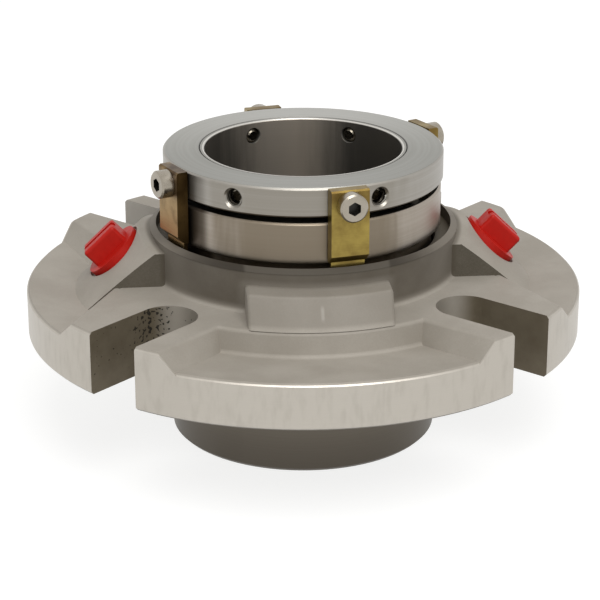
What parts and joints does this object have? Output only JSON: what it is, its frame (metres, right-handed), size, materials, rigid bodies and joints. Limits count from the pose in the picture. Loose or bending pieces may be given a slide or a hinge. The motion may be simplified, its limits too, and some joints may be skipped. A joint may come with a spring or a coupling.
{
  "type": "cartridge mechanical seal",
  "caption": "Cartridge mechanical seal for a pump shaft: slotted gland with a pilot nose and plugged ports, sleeve, clamp ring and swing-away setting clips.",
  "frame": {"origin": "on the shaft's axis at the gland's mating face, which closes on the pump", "axes": "+Z along the shaft, away from the pump, up as it stands on its nose; -Y between the two front slots; ports on +X and -X"},
  "size_m": [0.142, 0.142, 0.0748],
  "materials": {
    "cast_steel": "bead-blasted stainless casting, turned rim",
    "turned_steel": "turned stainless",
    "bright_steel": "bright stainless",
    "spring_steel": "rolled spring strip",
    "clip_brass": "dull brass",
    "plug_plastic": "moulded red plastic",
    "seal_rubber": "moulded rubber",
    "carbon": "lapped carbon",
    "silicon_carbide": "lapped silicon carbide"
  },
  "bodies": {
    "gland": {"gland": "cast_steel", "gland_o_ring": "seal_rubber", "port_plug_left": "plug_plastic", "port_plug_right": "plug_plastic", "stop_pins": "bright_steel", "inboard_spring": "spring_steel", "outboard_spring": "spring_steel"},
    "rotor": {"sleeve": "turned_steel", "clamp_ring": "turned_steel", "rotary_holder": "turned_steel", "inboard_rotary_face": "silicon_carbide", "outboard_rotary_face": "silicon_carbide", "shaft_o_ring": "seal_rubber", "inboard_rotary_o_ring": "seal_rubber", "holder_o_ring": "seal_rubber", "outboard_rotary_o_ring": "seal_rubber", "retaining_ring": "bright_steel", "holder_drive_pins": "bright_steel", "inboard_drive_pins": "bright_steel", "outboard_drive_pins": "bright_steel", "setscrews": "bright_steel", "clip_screws": "bright_steel"},
    "outboard_face": {"outboard_stationary_face": "carbon", "outboard_stationary_o_ring": "seal_rubber"},
    "inboard_face": {"inboard_stationary_face": "carbon", "inboard_stationary_o_ring": "seal_rubber"},
    "clip_front": {"clip_front": "clip_brass"},
    "clip_right": {"clip_right": "clip_brass"},
    "clip_back": {"clip_back": "clip_brass"},
    "clip_left": {"clip_left": "clip_brass"}
  },
  "joints": [
    {"name": "shaft_turn", "type": "hinge", "parent": "gland", "child": "rotor", "pos_m": [0, 0, 0], "axis": [0, 0, 1], "continuous": true},
    {"name": "outboard_face_float", "type": "slide", "parent": "gland", "child": "outboard_face", "axis": [0, 0, 1], "range_m": [-0.0015, 0], "stiffness_N_per_m": 5000, "springref_m": 0.0002, "deforming": ["outboard_spring"]},
    {"name": "inboard_face_float", "type": "slide", "parent": "gland", "child": "inboard_face", "axis": [0, 0, 1], "range_m": [0, 0.0015], "stiffness_N_per_m": 5000, "springref_m": -0.0002, "deforming": ["inboard_spring"]},
    {"name": "clip_front_swing", "type": "hinge", "parent": "rotor", "child": "clip_front", "pos_m": [0.00768, -0.03773, 0.0433], "axis": [0.1994, -0.9799, 0], "range_deg": [0, 180]},
    {"name": "clip_right_swing", "type": "hinge", "parent": "rotor", "child": "clip_right", "pos_m": [0.03445, 0.01718, 0.0433], "axis": [0.8949, 0.4462, 0], "range_deg": [0, 180]},
    {"name": "clip_back_swing", "type": "hinge", "parent": "rotor", "child": "clip_back", "pos_m": [-0.00768, 0.03773, 0.0433], "axis": [-0.1994, 0.9799, 0], "range_deg": [0, 180]},
    {"name": "clip_left_swing", "type": "hinge", "parent": "rotor", "child": "clip_left", "pos_m": [-0.03489, -0.01627, 0.0433], "axis": [-0.9063, -0.4226, 0], "range_deg": [0, 180]}
  ]
}
